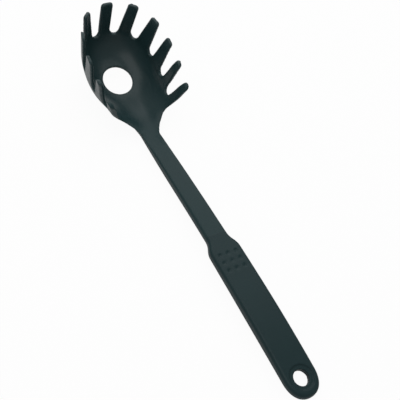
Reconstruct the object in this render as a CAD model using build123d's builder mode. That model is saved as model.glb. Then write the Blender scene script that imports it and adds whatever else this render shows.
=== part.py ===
"""A pasta server lying on its back: a scoop with eleven tines on a slim shaft, and a grip moulded over the tang.

+X runs from the scoop to the hanging hole, +Z is up, and Z = 0 is the table. The origin is under the middle of
the length. The scoop is drawn in its own plane, whose height is zero on the scoop's inner floor at the centre of
the portion hole, and which leans forward from the table by the scoop's tilt.
"""
from build123d import *
from math import asin, atan2, cos, degrees, radians, sin, sqrt, tan
import os

os.makedirs("parts", exist_ok=True)

# Whole tool
hole_spacing = 268.0            # portion hole to hanging hole, along the table
grip_end_reach = 12.5           # hanging hole to the end of the grip
scoop_tilt = 19.6               # degrees, scoop floor against the table
overrun = 5.0                   # how far a cutter runs past what it cuts

# Scoop
wall = 2.5
scoop_height = 49.0             # drawn height, above every tine
portion_hole_radius = 11.9
floor_front = 17.0              # flat floor in front of, beside and behind the portion hole
floor_side = 8.3
floor_rear = 8.0
front_bend = 22.0               # inner radii where the floor turns up
side_bend = 18.6
rear_bend = 25.0
front_lean = 19.0               # degrees from upright
side_lean = 9.0
ramp_lean = 64.0
ramp_skin_lean = 67.0           # its outer skin, so that the wall grows towards the neck
widest_shift = -1.0             # how far the widest place has moved back at the top
level_shares = (0.0, 0.003, 0.016, 0.05, 0.11, 0.19, 0.29, 0.43, 0.61, 0.81, 1.0)
front_fullness_share = 0.66
nose_share = 0.1                # last part of each outline, where it turns across the neck
oval_handle_shares = (0.43, 0.19, 0.66, 0.35)       # handles of the outline's rear curves at the floor
skin_handle_shares = (0.7, 0.28, 0.7, 0.6)          # at the rim, outside
hollow_handle_shares = (0.8, 0.1, 0.7, 0.6)         # and at the rim, inside
hollow_taper_share = 0.3        # how much of the oval's taper the hollow keeps at the neck

# Rim and tines
rim_height = 20.0               # rim behind the last tine
rim_corner = 3.5                # hollow corner where that tine rises from the rim
crown_height = 44.9             # tines end on an arc, seen from the side
crown_station = 24.3            # portion hole to the arc's highest place
crown_radius = 300.0
crown_lift = 0.1                # the rounded corners of the tines start this far over the arc
last_tine_top = 36.9            # station of the rear edge of the last tine at its tip
last_tine_base = 39.4
slot_root_radius = 4.4
slot_top_width = 16.0
slot_length = 42.0              # height above the root at which the slot is that wide
slot_cut_depth = 16.0
tip_rounding = 2.8
slot_along_shares = (-0.985, -0.715, -0.235, 0.182, 0.43)   # of the outer skin's reach to the front or the rear
slot_side_shares = (0.3, 0.76, 1.0, 0.953, 0.817)           # of its reach to the side
slot_root_shares = (0.187, 0.246, 0.322, 0.39, 0.456)       # of the crown's height
slot_turns = (21.0, 49.0, 78.0, 96.0, 107.0)        # degrees from straight ahead
slot_leans = (1.0, 1.5, 6.5, 9.0, 9.0)              # degrees, tops towards the front

# Shaft
crest_station = 200.0           # portion hole to the highest place of the handle
crest_height = 6.0              # crest above the portion hole's centre
shoulder_station = 158.0        # portion hole to the seam between shaft and grip
neck_width = 13.8
shaft_width = 16.2              # at the grip
neck_depth = 4.6                # where the scoop's ramp ends
shaft_depth = 6.8
shaft_along_shares = (0.0, 0.2, 0.45, 0.72, 1.0)            # places of its sections, from the ramp's end to the seam
shaft_depth_shares = (0.0, 0.65, 1.0, 1.0, 1.0)             # how far each has grown from the neck's depth
neck_root_height = 10.0         # height in the scoop's rear wall at which the neck grows out of it
neck_inset = 0.3                # the scoop's end stays inside the neck
neck_rim = 0.6                  # rim beside the hollow at the neck
shaft_edge_rounding = 1.1       # at the neck

# Grip
grip_width = 23.3
grip_depth = 8.3
grip_end_drop = 4.6             # crest down to the top of the grip's end
grip_belly = 230.0              # where the grip is deepest
grip_end_depth = 6.2
shoulder_length = 13.5
shoulder_fullness_share = 0.45
end_cap_length = 15.0
end_side_fullness_share = 0.6
end_nose_fullness_share = 0.63
grip_edge_rounding = 2.4
upright_share = 0.25            # rise per length from which an edge of the grip counts as upright
hang_hole_radius = 5.3
dish_radius = 8.2
dish_depth = 0.9
hang_wall = 4.4                 # thickness between the dishes on the two faces
dimple_pitch = 6.2
dimple_radius = 1.35
dimple_depth = 0.8
dimple_station = 180.0
dimple_count = 3

# Tang inside the grip
tang_width = 9.4
tang_thickness = 3.2
tang_length = 70.0
tang_corner = 3.0
tang_drop = 0.45                # below the middle of the shaft, to follow the arched grip
tang_window_length = 12.0
tang_window_width = 4.0
tang_window_pitch = 30.0
tang_windows = 2
socket_clearance = 0.05


def wall_reach(height, flat, bend, lean):
    """How far out a wall stands at a height, for a flat floor, a round bend and a leaning wall."""
    turn = radians(90 - lean)
    bend_top = bend * (1 - cos(turn))
    if height < bend_top:
        return flat + sqrt(bend ** 2 - (bend - height) ** 2)
    return flat + bend * sin(turn) + (height - bend_top) * tan(radians(lean))


# Place of the scoop over the table
tilt = radians(scoop_tilt)
front_tip = -floor_front * cos(tilt) - (front_bend + wall) * (1 - sin(tilt)) - wall * sin(tilt)
hole_station = -(front_tip + hole_spacing + grip_end_reach) / 2
hole_height = wall + rear_bend + floor_rear * sin(tilt) - rear_bend * cos(tilt)
scoop_plane = Plane(
    origin=(hole_station, 0, hole_height),
    x_dir=(cos(tilt), 0, -sin(tilt)),
    z_dir=(sin(tilt), 0, cos(tilt)),
)
scoop_side = Plane(origin=scoop_plane.origin, x_dir=scoop_plane.x_dir, z_dir=(0, -1, 0))


def scoop_outline(height, skin, rear_lean, neck, taper_share, rim_handle_shares):
    """Outline of the scoop at one height, for its inner skin or, a wall further out, its outer one.

    Its rear is a plain oval at the floor, and is drawn in at the rim to half the neck's width.
    """
    rise = height + skin
    front = wall_reach(rise, floor_front, front_bend + skin, front_lean)
    side = wall_reach(rise, floor_side, side_bend + skin, side_lean)
    rear = wall_reach(rise, floor_rear, rear_bend + skin, rear_lean)
    widest = widest_shift * rise / scoop_height
    drawn_in = min(1, rise / (rim_height + skin))
    leave_side, reach_nose, leave_nose, reach_end = (
        oval + drawn_in * (drawn - oval) for oval, drawn in zip(oval_handle_shares, rim_handle_shares)
    )
    nose_start = rear - nose_share * (rear - widest)
    oval_share = sqrt(1 - (1 - nose_share) ** 2)
    nose = oval_share * side + drawn_in * (neck - oval_share * side)
    slope = (1 - drawn_in + drawn_in * taper_share) * nose / (2 * nose_share * (rear - widest))
    with BuildSketch() as outline:
        with BuildLine():
            Bezier(
                (-front, 0),
                (-front, front_fullness_share * side),
                (widest - front_fullness_share * (front + widest), side),
                (widest, side),
            )
            Bezier(
                (widest, side),
                (widest + leave_side * (nose_start - widest), side),
                (
                    nose_start - reach_nose * (nose_start - widest),
                    nose + slope * reach_nose * (nose_start - widest),
                ),
                (nose_start, nose),
            )
            Bezier(
                (nose_start, nose),
                (nose_start + leave_nose * (rear - nose_start), nose - slope * leave_nose * (rear - nose_start)),
                (rear, reach_end * nose),
                (rear, 0),
            )
            mirror(about=Plane.XZ)
        make_face()
    return outline.sketch


# Outer skin and hollow of the scoop
with BuildPart() as scoop_skin:
    for share in level_shares:
        level = share * (scoop_height + wall) - wall
        with BuildSketch(scoop_plane.offset(level)):
            add(scoop_outline(level, wall, ramp_skin_lean, neck_width / 2 - neck_inset, 0, skin_handle_shares))
    loft()

with BuildPart() as scoop_hollow:
    for share in level_shares:
        level = share * scoop_height
        with BuildSketch(scoop_plane.offset(level)):
            add(
                scoop_outline(
                    level, 0, ramp_lean, neck_width / 2 - neck_rim, hollow_taper_share, hollow_handle_shares
                )
            )
    loft()


def crown_top(station):
    """Height of the crown over the portion hole, at a station in the scoop's own plane."""
    return crown_height - crown_radius + sqrt(crown_radius ** 2 - (station - crown_station) ** 2)


def crown_slope(station):
    """Rise of the crown per length towards the rear."""
    return (crown_station - station) / sqrt(crown_radius ** 2 - (station - crown_station) ** 2)


# Side view of what stays of the scoop below its crown and rim
front_reach = wall_reach(crown_height + wall, floor_front, front_bend + wall, front_lean)
rear_limit = wall_reach(scoop_height, floor_rear, rear_bend + wall, ramp_lean) + overrun
with BuildPart() as crown_block:
    with BuildSketch(scoop_side) as crown_side:
        with BuildLine():
            ThreePointArc(
                (-front_reach, crown_top(-front_reach)),
                (0, crown_top(0)),
                (last_tine_top, crown_top(last_tine_top)),
            )
            FilletPolyline(
                (last_tine_top, crown_top(last_tine_top)),
                (last_tine_base, rim_height),
                (rear_limit, rim_height),
                radius=rim_corner,
            )
            Polyline(
                (rear_limit, rim_height),
                (rear_limit, -wall - overrun),
                (-front_reach, -wall - overrun),
                (-front_reach, crown_top(-front_reach)),
            )
        make_face()
        tine_corner = crown_side.vertices().sort_by_distance((last_tine_top, crown_top(last_tine_top)))[0]
        fillet(tine_corner, tip_rounding)
    extrude(amount=scoop_height, both=True)

# Slots between the tines, one side and its mirror; each is cut along the crown's slope, and widens to round the
# corners of the tines beside it
slot_rows = zip(slot_along_shares, slot_side_shares, slot_root_shares, slot_turns, slot_leans)
with BuildPart() as slots:
    for along_share, side_share, root_share, turn, lean in slot_rows:
        root = root_share * crown_height
        root_reach = wall_reach(root + wall, floor_front, front_bend + wall, front_lean)
        rear_reach = wall_reach(root + wall, floor_rear, rear_bend + wall, ramp_lean)
        station = along_share * (root_reach if along_share < 0 else rear_reach)
        side = side_share * wall_reach(root + wall, floor_side, side_bend + wall, side_lean)
        ahead, beside = cos(radians(turn)), sin(radians(turn))
        spread = front_reach - root_reach
        top_station = station - ahead * spread
        slope = crown_slope(top_station)
        local_plane = Plane(
            origin=(station, side, root),
            x_dir=(-beside, -ahead, -tan(radians(lean))),
            z_dir=(-ahead, beside, -slope * ahead),
        )
        crown_point = local_plane.to_local_coords(
            Vector(top_station, side + beside * spread, crown_top(top_station) + crown_lift)
        )
        crown_line = local_plane.to_local_coords(
            Vector(station, side, root) + Vector(-beside, -ahead, -slope * beside)
        )
        mouth = (0, crown_point.Y - crown_point.X * crown_line.Y / crown_line.X)
        with BuildSketch(scoop_plane * local_plane) as slot:
            with BuildLine():
                CenterArc((0, slot_root_radius), slot_root_radius, 0, 360)
                Line((-slot_top_width / 2, slot_length), (slot_top_width / 2, slot_length))
            make_hull()
            with Locations(Location(mouth, degrees(atan2(crown_line.Y, crown_line.X)))):
                Rectangle(slot_top_width + 4 * tip_rounding, scoop_height, align=(Align.CENTER, Align.MIN))
            fillet(slot.vertices().sort_by_distance(mouth)[:2], tip_rounding)
        extrude(amount=slot_cut_depth, both=True)
    mirror(about=Plane.XZ)

# Handle lines, seen from the side: the scoop's ramp runs into one arc up to the crest and one down to the end
ramp_reach = wall_reach(rim_height, floor_rear, rear_bend, ramp_lean)
ramp_end = scoop_plane.from_local_coords(Vector(ramp_reach, 0, rim_height))
crest_x = hole_station + crest_station
crest_z = hole_height + crest_height
shoulder = hole_station + shoulder_station
hang_station = hole_station + hole_spacing
handle_end = hang_station + grip_end_reach


def arc_radius(run, rise):
    """Radius of an arc that starts level and has risen so far after a run."""
    return (run ** 2 + rise ** 2) / (2 * rise)


shaft_arc = arc_radius(crest_x - ramp_end.X, crest_z - ramp_end.Z)
grip_arc = arc_radius(handle_end - crest_x, grip_end_drop)


def handle_top(station):
    """Height of the handle's top line over the table."""
    radius = shaft_arc if station < crest_x else grip_arc
    return crest_z - radius + sqrt(radius ** 2 - (station - crest_x) ** 2)


def handle_slope(station):
    """Downward slope of the handle's top line, in degrees."""
    radius = shaft_arc if station < crest_x else grip_arc
    return degrees(asin((station - crest_x) / radius))


def top_plane(station):
    """Plane that touches the handle's top line at a station."""
    fall = radians(handle_slope(station))
    return Plane(
        origin=(station, 0, handle_top(station)),
        x_dir=(cos(fall), 0, -sin(fall)),
        z_dir=(sin(fall), 0, cos(fall)),
    )


def rounds_grip(edge):
    """True for the upper and lower edges that go round the grip behind its seam."""
    return abs(edge.tangent_at(0.5).Z) < upright_share and edge.center().X > shoulder + socket_clearance


# Neck and shaft: sections from the scoop's rear wall, which the neck grows out of, to the seam
neck_root_reach = wall_reach(neck_root_height, floor_rear, rear_bend, ramp_lean)
neck_root = scoop_plane.from_local_coords(Vector(neck_root_reach, 0, neck_root_height))
with BuildPart() as shaft:
    with BuildSketch(Plane.YZ.offset(neck_root.X)):
        with Locations((0, neck_root.Z - wall / 2)):
            RectangleRounded(neck_width, wall, shaft_edge_rounding)
    for along_share, depth_share in zip(shaft_along_shares, shaft_depth_shares):
        station = ramp_end.X + along_share * (shoulder - ramp_end.X)
        width = neck_width + along_share * (shaft_width - neck_width)
        depth = neck_depth + depth_share * (shaft_depth - neck_depth)
        rounding = shaft_edge_rounding + along_share * (grip_edge_rounding - shaft_edge_rounding)
        with BuildSketch(Plane.YZ.offset(station)):
            with Locations((0, handle_top(station) - depth / 2)):
                RectangleRounded(width, depth, rounding)
    loft()


def tang_outline(gap):
    """Plan of the tang and its windows, or of the socket a gap wider all round."""
    with BuildSketch() as outline:
        with Locations((shoulder + (tang_length - overrun) / 2, 0)):
            RectangleRounded(tang_length + overrun + 2 * gap, tang_width + 2 * gap, tang_corner + gap)
        with Locations((shoulder + tang_length / 2, 0)):
            with GridLocations(tang_window_pitch, 0, tang_windows, 1):
                SlotOverall(tang_window_length - 2 * gap, tang_window_width - 2 * gap, mode=Mode.SUBTRACT)
    return outline.sketch


tang_bottom = handle_top(shoulder) - (shaft_depth + tang_thickness) / 2 - tang_drop
with BuildPart() as server_head:
    add(scoop_skin.part)
    add(crown_block.part, mode=Mode.INTERSECT)
    add(shaft.part)
    add(scoop_hollow.part, mode=Mode.SUBTRACT)
    add(slots.part, mode=Mode.SUBTRACT)
    with Locations(scoop_plane):
        Cylinder(portion_hole_radius, scoop_height / 2, mode=Mode.SUBTRACT)
    with BuildSketch(Plane.XY.offset(tang_bottom)):
        add(tang_outline(0))
    extrude(amount=tang_thickness)

# Grip: a side view cut to the plan, then its socket, dish, hanging hole and dimples
belly_x = hole_station + grip_belly
cap_start = handle_end - end_cap_length
with BuildPart() as grip:
    with BuildSketch(Plane.XZ):
        with BuildLine():
            shoulder_end = shoulder + shoulder_length
            ThreePointArc(
                (shoulder, handle_top(shoulder)),
                (shoulder_end, handle_top(shoulder_end)),
                (crest_x, crest_z),
            )
            ThreePointArc(
                (crest_x, crest_z),
                (belly_x, handle_top(belly_x)),
                (handle_end, handle_top(handle_end)),
            )
            Line(
                (handle_end, handle_top(handle_end)),
                (handle_end, handle_top(handle_end) - grip_end_depth),
            )
            ThreePointArc(
                (handle_end, handle_top(handle_end) - grip_end_depth),
                (belly_x, handle_top(belly_x) - grip_depth),
                (shoulder, handle_top(shoulder) - shaft_depth),
            )
            Line((shoulder, handle_top(shoulder) - shaft_depth), (shoulder, handle_top(shoulder)))
        make_face()
    extrude(amount=grip_width, both=True)
    with BuildSketch():
        with BuildLine():
            Bezier(
                (shoulder, shaft_width / 2),
                (shoulder + shoulder_fullness_share * shoulder_length, shaft_width / 2),
                (shoulder_end - shoulder_fullness_share * shoulder_length, grip_width / 2),
                (shoulder_end, grip_width / 2),
            )
            Line((shoulder_end, grip_width / 2), (cap_start, grip_width / 2))
            Bezier(
                (cap_start, grip_width / 2),
                (cap_start + end_side_fullness_share * end_cap_length, grip_width / 2),
                (handle_end, end_nose_fullness_share * grip_width / 2),
                (handle_end, 0),
            )
            Line((shoulder, 0), (shoulder, shaft_width / 2))
            mirror(about=Plane.XZ)
        make_face()
    extrude(amount=scoop_height, both=True, mode=Mode.INTERSECT)
    fillet(grip.edges().filter_by(rounds_grip), grip_edge_rounding)

    with BuildSketch(Plane.XY.offset(tang_bottom - socket_clearance)):
        add(tang_outline(socket_clearance))
    extrude(amount=tang_thickness + 2 * socket_clearance, mode=Mode.SUBTRACT)

    hang_plane = top_plane(hang_station)
    with BuildSketch(hang_plane.offset(overrun)):
        Circle(dish_radius)
    extrude(amount=-overrun - dish_depth, mode=Mode.SUBTRACT)
    with BuildSketch(hang_plane.offset(-dish_depth - hang_wall)):
        Circle(dish_radius)
    extrude(amount=-overrun, mode=Mode.SUBTRACT)
    with Locations(hang_plane.offset(-dish_depth)):
        Hole(hang_hole_radius)

    with Locations(top_plane(hole_station + dimple_station)):
        with GridLocations(dimple_pitch, dimple_pitch, dimple_count, dimple_count):
            Hole(dimple_radius, depth=dimple_depth)

server_head.part.label = "server_head"
grip.part.label = "grip"
export_step(server_head.part, "parts/server_head.step")
export_step(grip.part, "parts/grip.step")
for piece in (server_head.part, grip.part):
    print(piece.label, "volume", round(piece.volume), "valid", piece.is_valid)
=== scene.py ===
# %% [markdown]
# A pasta server, dressed for its picture
#
# The server is two mouldings in one near-black nylon: a scoop ringed with tines on a slim shaft, and a
# grip moulded over the shaft's hidden tang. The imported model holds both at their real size. This lesson
# gives them the soft edges and the satin skin of the real mouldings, and sets the floor, the light and
# the camera.

# %% Load the frame
import bpy
from math import hypot, radians
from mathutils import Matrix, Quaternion, Vector


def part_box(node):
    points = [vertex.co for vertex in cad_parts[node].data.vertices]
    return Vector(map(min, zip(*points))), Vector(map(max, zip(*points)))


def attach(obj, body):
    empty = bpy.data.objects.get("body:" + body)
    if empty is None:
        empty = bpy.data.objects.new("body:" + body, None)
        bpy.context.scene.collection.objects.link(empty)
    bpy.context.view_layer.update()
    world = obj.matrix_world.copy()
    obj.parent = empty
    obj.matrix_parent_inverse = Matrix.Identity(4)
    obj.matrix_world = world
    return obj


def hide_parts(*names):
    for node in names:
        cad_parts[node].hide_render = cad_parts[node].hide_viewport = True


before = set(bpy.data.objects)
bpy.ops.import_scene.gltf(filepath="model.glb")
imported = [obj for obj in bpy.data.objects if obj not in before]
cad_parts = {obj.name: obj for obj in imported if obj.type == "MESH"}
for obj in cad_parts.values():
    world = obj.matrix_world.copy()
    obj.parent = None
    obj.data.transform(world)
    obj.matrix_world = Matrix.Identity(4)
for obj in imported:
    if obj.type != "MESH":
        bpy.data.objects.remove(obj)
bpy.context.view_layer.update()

mm = 0.001

# %% [markdown]
# The camera comes first, because everything after it is judged through it. It stands between the grip's
# end and the near side of the tool, looks down at about 52 degrees, and is rolled so that the handle
# falls away to the lower right.

# %% Camera
camera_target = Vector((-2.05, 9.4, 0)) * mm
camera_distance = 518.9 * mm
camera_azimuth = radians(-43.65)        # about +Z, from +X
camera_elevation = radians(52.2)
camera_roll = radians(18.6)
camera_lens = 64.8                      # millimetres, for a sensor 36 mm wide
nearest_seen = 10 * mm

outward = Vector((1, 0, 0))
outward.rotate(Quaternion((0, -1, 0), camera_elevation))
outward.rotate(Quaternion((0, 0, 1), camera_azimuth))
aim = (-outward).to_track_quat("-Z", "Y")
camera = bpy.data.objects.new("camera", bpy.data.cameras.new("camera"))
camera.location = camera_target + outward * camera_distance
camera.rotation_mode = "QUATERNION"
camera.rotation_quaternion = aim @ Quaternion((0, 0, 1), camera_roll)
camera.data.lens = camera_lens
camera.data.clip_start = nearest_seen
bpy.context.scene.collection.objects.link(camera)
bpy.context.scene.camera = camera
bpy.context.scene.view_settings.view_transform = "Standard"
print("camera", [round(v, 4) for v in camera.location])

# %% [markdown]
# Shader maths is easier to read as an expression than as a web of nodes. This small class wraps one
# socket of a material's node tree, and its operators add the Math nodes that work the expression out.
# Every other node comes from one function, which takes its type, its settings and its values or links.


# %% Sockets as numbers
class Wire:
    """A socket that takes part in sums: 1 - mask or noise * 0.3 + 0.5 adds the Math nodes for it."""

    def __init__(self, tree, socket):
        self.tree, self.socket = tree, socket

    def math(self, operation, first, second):
        return node(self.tree, "ShaderNodeMath", {"operation": operation}, {0: first, 1: second})

    def __add__(self, other):
        return self.math("ADD", self, other)

    def __sub__(self, other):
        return self.math("SUBTRACT", self, other)

    def __rsub__(self, other):
        return self.math("SUBTRACT", other, self)

    def __mul__(self, other):
        return self.math("MULTIPLY", self, other)

    __radd__, __rmul__ = __add__, __mul__


def node(tree, kind, settings=None, values=None, output=0):
    """Add a node, give it its settings, then its values or links, and return one of its outputs."""
    made = tree.nodes.new(kind)
    for name, setting in (settings or {}).items():
        setattr(made, name, setting)
    for name, value in (values or {}).items():
        if isinstance(value, Wire):
            tree.links.new(value.socket, made.inputs[name])
        else:
            made.inputs[name].default_value = value
    return Wire(tree, made.outputs[output]) if made.outputs else made


# %% [markdown]
# An operator acts on all that is selected, and the loaded nodes arrive selected. So each step first
# selects its own piece alone. A modifier is added, set and applied in one go, because a finished piece
# carries its shape in its mesh.


# %% Work on one piece
def only(piece):
    """Select one object and nothing else."""
    bpy.ops.object.select_all(action="DESELECT")
    piece.select_set(True)
    bpy.context.view_layer.objects.active = piece


def finish_with(piece, kind, **settings):
    """Add a modifier, set it and apply it."""
    only(piece)
    modifier = piece.modifiers.new(kind.lower(), kind)
    for name, setting in settings.items():
        setattr(modifier, name, setting)
    bpy.ops.object.modifier_apply(modifier=modifier.name)


# %% [markdown]
# Moulded nylon has no sharp edge anywhere: the tool that shapes it is rounded by hand and by spark. A
# Bevel modifier would need clean, even faces, and this shape has hundreds of slivers where slots cut a
# curved shell. So the mesh is copied, its doubles are merged, and a voxel remesh wraps it in small even
# cells, which can then be moved and smoothed like clay.
#
# The two mouldings meet flush at the seam, and a rounded edge there would show as a groove. Before the
# remesh each end is therefore pushed a little into its neighbour, where the nylon of the grip was moulded
# over the shaft.

# %% Cast a moulding again
cell = 0.4 * mm
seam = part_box("grip")[0][0]             # where the shaft runs into the grip
seam_reach = 0.01 * mm                  # points this near the seam lie on it
seam_overlap = 1.2 * mm
double_reach = 0.001 * mm


def recast(node_name, piece_name, push):
    """Copy a node, push its end past the seam and wrap it in a new even skin."""
    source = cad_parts[node_name]
    piece = bpy.data.objects.new(piece_name, source.data.copy())
    bpy.context.scene.collection.objects.link(piece)
    piece.data.materials.clear()
    only(piece)
    bpy.ops.object.mode_set(mode="EDIT")
    bpy.ops.mesh.select_all(action="SELECT")
    bpy.ops.mesh.remove_doubles(threshold=double_reach)
    bpy.ops.object.mode_set(mode="OBJECT")
    for vertex in piece.data.vertices:
        if abs(vertex.co.x - seam) < seam_reach:
            vertex.co.x += push
    finish_with(piece, "REMESH", mode="VOXEL", voxel_size=cell)
    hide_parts(node_name)
    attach(piece, "root")
    print(piece_name, "from", len(source.data.polygons), "to", len(piece.data.polygons), "faces")
    return piece


head = recast("server_head", "head_moulding", seam_overlap)
grip = recast("grip", "grip_moulding", -seam_overlap)

# %% [markdown]
# The tines of the real server are a little broader, and the slots narrower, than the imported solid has
# them. The tines stand in a ring, so the sides of a tine are the faces that look along that ring. Those
# alone are moved into the slots. The tips, the bottoms of the slots and the two skins of the scoop stay
# where they are, and towards them the move fades out, so that no step is left.

# %% Broaden the tines
ring_middle = -122 * mm                 # along the tool; the tines stand round this place
lowest_slot = 19 * mm
last_tine = -74 * mm                    # nothing behind this place is a tine
tine_gain = 0.85 * mm                   # on each side of a tine
least_facing = 0.3                      # a face that looks less along the ring stays
facing_fade = 0.4                       # and one that looks this much more moves all the way


def ease(share):
    """Turn a straight run from 0 to 1 into one with soft ends."""
    return share * share * (3 - 2 * share)


def broaden_tines(piece):
    """Move the faces that look along the ring of tines into the slots."""
    normals = [vertex.normal.copy() for vertex in piece.data.vertices]
    moved = 0
    for vertex, normal in zip(piece.data.vertices, normals):
        ring_out = Vector((vertex.co.x - ring_middle, vertex.co.y, 0)).normalized()
        ring_along = Vector((-ring_out.y, ring_out.x, 0))
        facing = normal.dot(ring_along)
        share = min(1, max(0, (abs(facing) - least_facing) / facing_fade))
        if share and vertex.co.z > lowest_slot and vertex.co.x < last_tine:
            step = tine_gain * ease(share)
            vertex.co += ring_along * (step if facing > 0 else -step)
            moved += 1
    print(piece.name, "has", moved, "points moved into the slots")


broaden_tines(head)

# %% [markdown]
# Smoothing relaxes every edge by a few tenths of a millimetre, but not every place is equally soft. The
# ramp of the scoop flows into the neck in one sweep, so its upper face alone is relaxed for much longer
# than the rest, and the finger dimples a little longer. The dish round the hanging hole keeps a crisp
# step. Each place is a vertex group that fades with the distance, and the Smooth modifier follows its
# weights.


# %% Relax the edges
def relax(piece, rounds, place=(0, 0), reach=1.0, middle=1.0, outside=1.0, least_upward=-1.0):
    """Smooth a piece; the weight goes from one value at a place on the plan to another at its reach."""
    group = piece.vertex_groups.new(name="soft")
    for vertex in piece.data.vertices:
        far = min(1, hypot(vertex.co.x - place[0], vertex.co.y - place[1]) / reach)
        if vertex.normal.z >= least_upward:
            group.add([vertex.index], middle + ease(far) * (outside - middle), "REPLACE")
    finish_with(piece, "SMOOTH", factor=1.0, iterations=rounds, vertex_group=group.name)
    piece.vertex_groups.clear()
    print(piece.name, "relaxed", rounds, "times")


edge_rounds = 5
neck = (-76 * mm, 0)
neck_reach = 32 * mm
neck_rounds = 600
neck_upward = 0.45                      # only faces that look up this much, so the outline stays
relax(head, edge_rounds)
relax(head, neck_rounds, place=neck, reach=neck_reach, outside=0, least_upward=neck_upward)

hang_hole = (144.3 * mm, 0)
dish_reach = 14 * mm
dish_softness = 0.15                    # of what the other edges get
dimples = (56.3 * mm, 0)
dimple_reach = 14 * mm
dimple_rounds = 22
relax(grip, edge_rounds, place=hang_hole, reach=dish_reach, middle=dish_softness)
relax(grip, dimple_rounds, place=dimples, reach=dimple_reach, outside=0)

# %% [markdown]
# A shared part shouldn't be heavier than it has to be. Where a skin has too many triangles, a decimation
# takes away cells that its flat stretches don't need. Smooth shading then hides the facets that are left.

# %% Thin the skins
most_triangles = 190000

for piece, slot in (head, "head_nylon"), (grip, "grip_nylon"):
    triangles = 2 * len(piece.data.polygons)    # every cell of the skin has four sides
    if triangles > most_triangles:
        finish_with(piece, "DECIMATE", ratio=most_triangles / triangles)
    only(piece)
    bpy.ops.object.shade_smooth()
    print(piece.name, "ends with", len(piece.data.polygons), "faces")

# %% [markdown]
# The nylon is moulded in a spark-eroded tool, which leaves a fine even grain and a satin gloss. The
# colour is nearly black with a breath of green-blue. Two noises keep it from looking like a computer's:
# a broad one moves the colour and the roughness a little, and a fine one the roughness again, with a very
# fine bump that breaks up the highlights.
#
# The photograph shows the scoop a little glossier than the handle, as where a mould is polished so that
# food slides off. A thin clear coat over the nylon stands for that. It fades out along the neck.

# %% Satin nylon
patch = 24 * mm                         # size of the broad noise
patch_colours = (0.9, 1.12)             # darkest and lightest, as shares of the colour
patch_roughness = 0.08
patch_detail = 3.0
grain = 0.35 * mm                       # size of the fine noise
grain_height = 0.012 * mm
grain_strength = 0.5
grain_roughness = 0.05
grain_detail = 2.0
noise_middle = 0.5                      # the value that a noise swings round
moulded_roughness = 0.36
polish = 0.22
polish_roughness = 0.3
polish_end = -90 * mm                   # full in front of this place
polish_gone = -76 * mm


def noise(tree, place, size, detail):
    """A soft random pattern of a given size."""
    return node(tree, "ShaderNodeTexNoise", None, {"Vector": place, "Scale": 1 / size, "Detail": detail})


def satin_nylon(name, colour, gloss):
    """Near-black nylon with a fine moulded grain."""
    material = bpy.data.materials.new(name)
    material.use_nodes = True
    tree = material.node_tree
    tree.nodes.clear()
    place = node(tree, "ShaderNodeTexCoord", output="Object")
    broad = noise(tree, place, patch, patch_detail)
    fine = noise(tree, place, grain, grain_detail)
    tint = node(tree, "ShaderNodeMix", {"data_type": "RGBA"}, {
        "Factor": broad,
        "A": (*[patch_colours[0] * c for c in colour], 1),
        "B": (*[patch_colours[1] * c for c in colour], 1),
    }, output=2)
    along = node(tree, "ShaderNodeSeparateXYZ", None, {0: place})
    coat = node(tree, "ShaderNodeMapRange", {"interpolation_type": "SMOOTHSTEP"}, {
        "Value": along,
        "From Min": polish_end,
        "From Max": polish_gone,
        "To Min": polish,
        "To Max": 0.0,
    })
    bump = node(tree, "ShaderNodeBump", None, {
        "Height": fine,
        "Distance": grain_height,
        "Strength": grain_strength,
    })
    patches = (broad - noise_middle) * patch_roughness
    grains = (fine - noise_middle) * grain_roughness
    shader = node(tree, "ShaderNodeBsdfPrincipled", None, {
        "Base Color": tint,
        "Roughness": moulded_roughness + patches + grains,
        "Specular IOR Level": gloss,
        "Coat Weight": coat,
        "Coat Roughness": polish_roughness,
        "Normal": bump,
    })
    node(tree, "ShaderNodeOutputMaterial", None, {"Surface": shader})
    print(name, "has", len(tree.nodes), "nodes")
    return material


head_nylon = satin_nylon("head nylon", colour=(0.0135, 0.033, 0.0355), gloss=0.145)
grip_nylon = satin_nylon("grip nylon", colour=(0.0115, 0.028, 0.0305), gloss=0.135)
head.data.materials.append(head_nylon)
grip.data.materials.append(grip_nylon)

# %% [markdown]
# The photograph shows the tool cut out on white. A real floor gives it something to rest on: it is white
# to the camera but for a faint shadow, which keeps the tool from floating. The material asks what kind of
# ray looks at it. A direct one sees nearly all white, one off the nylon's gloss sees some of it, and all
# others see matt paper.

# %% Floor
floor_size = 6.0
floor_drop = 0.02 * mm                  # below the tool, so that the two never share a plane
paper_grey = (0.8, 0.8, 0.8, 1)
pure_white = (1, 1, 1, 1)
white_to_camera = 0.95
white_to_gloss = 0.3


def rays(tree, kind):
    """1 for rays of one kind, and 0 for all others."""
    return node(tree, "ShaderNodeLightPath", output=kind)


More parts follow.
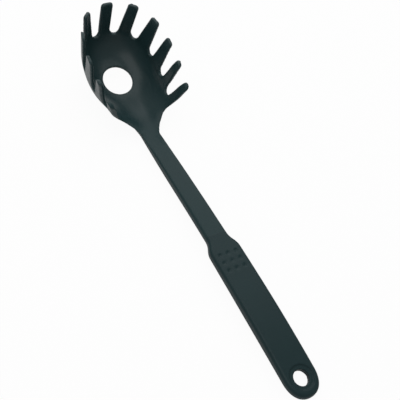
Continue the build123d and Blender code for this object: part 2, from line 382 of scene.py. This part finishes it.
bpy.ops.object.select_all(action="DESELECT")
bpy.ops.mesh.primitive_plane_add(size=floor_size, location=(0, 0, -floor_drop))
floor = bpy.context.object
floor.name = "floor"
paper = bpy.data.materials.new("paper")
paper.use_nodes = True
paper_tree = paper.node_tree
paper_tree.nodes.clear()
direct = rays(paper_tree, "Is Camera Ray") + rays(paper_tree, "Is Transmission Ray")
whiteness = direct * white_to_camera + rays(paper_tree, "Is Glossy Ray") * white_to_gloss
matt = node(paper_tree, "ShaderNodeBsdfDiffuse", None, {"Color": paper_grey})
white = node(paper_tree, "ShaderNodeEmission", None, {"Color": pure_white, "Strength": 1.0})
mixed = node(paper_tree, "ShaderNodeMixShader", None, {0: whiteness, 1: matt, 2: white})
node(paper_tree, "ShaderNodeOutputMaterial", None, {"Surface": mixed})
floor.data.materials.append(paper)
print("floor", floor_size, "m across")

# %% [markdown]
# The light is a plain soft studio: a pale room all round, a large soft box beyond the scoop and a smaller
# one high over the near side. The large one stands where the flat tops of shaft and grip mirror it, so
# their gloss fades from the seam to the end, and the smaller one fills the scoop. To the camera the room
# is white, like the floor.

# %% Light
room_light = 0.46
room_gloss = 0.08                       # what a gloss sees beyond that
lit_place = (-0.05, 0, 0)               # both boxes face this place, under the shaft

world = bpy.data.worlds.new("studio")
bpy.context.scene.world = world
world.use_nodes = True
world_tree = world.node_tree
world_tree.nodes.clear()
direct = rays(world_tree, "Is Camera Ray") + rays(world_tree, "Is Transmission Ray")
strength = room_light + direct * (1 - room_light) + rays(world_tree, "Is Glossy Ray") * room_gloss
room = node(world_tree, "ShaderNodeBackground", None, {"Color": pure_white, "Strength": strength})
node(world_tree, "ShaderNodeOutputWorld", None, {"Surface": room})


def soft_box(name, place, size, power):
    """A square area lamp that faces the lit place."""
    lamp = bpy.data.objects.new(name, bpy.data.lights.new(name, "AREA"))
    lamp.data.size = size
    lamp.data.energy = power
    lamp.location = place
    lamp.rotation_euler = (Vector(lit_place) - Vector(place)).to_track_quat("-Z", "Y").to_euler()
    bpy.context.scene.collection.objects.link(lamp)
    print(name, "is", size, "m across and gives", power, "W")


soft_box("behind", place=(-0.72, 0.33, 0.82), size=1.2, power=6.4)
soft_box("left", place=(-0.05, -0.38, 1.03), size=0.8, power=3.0)
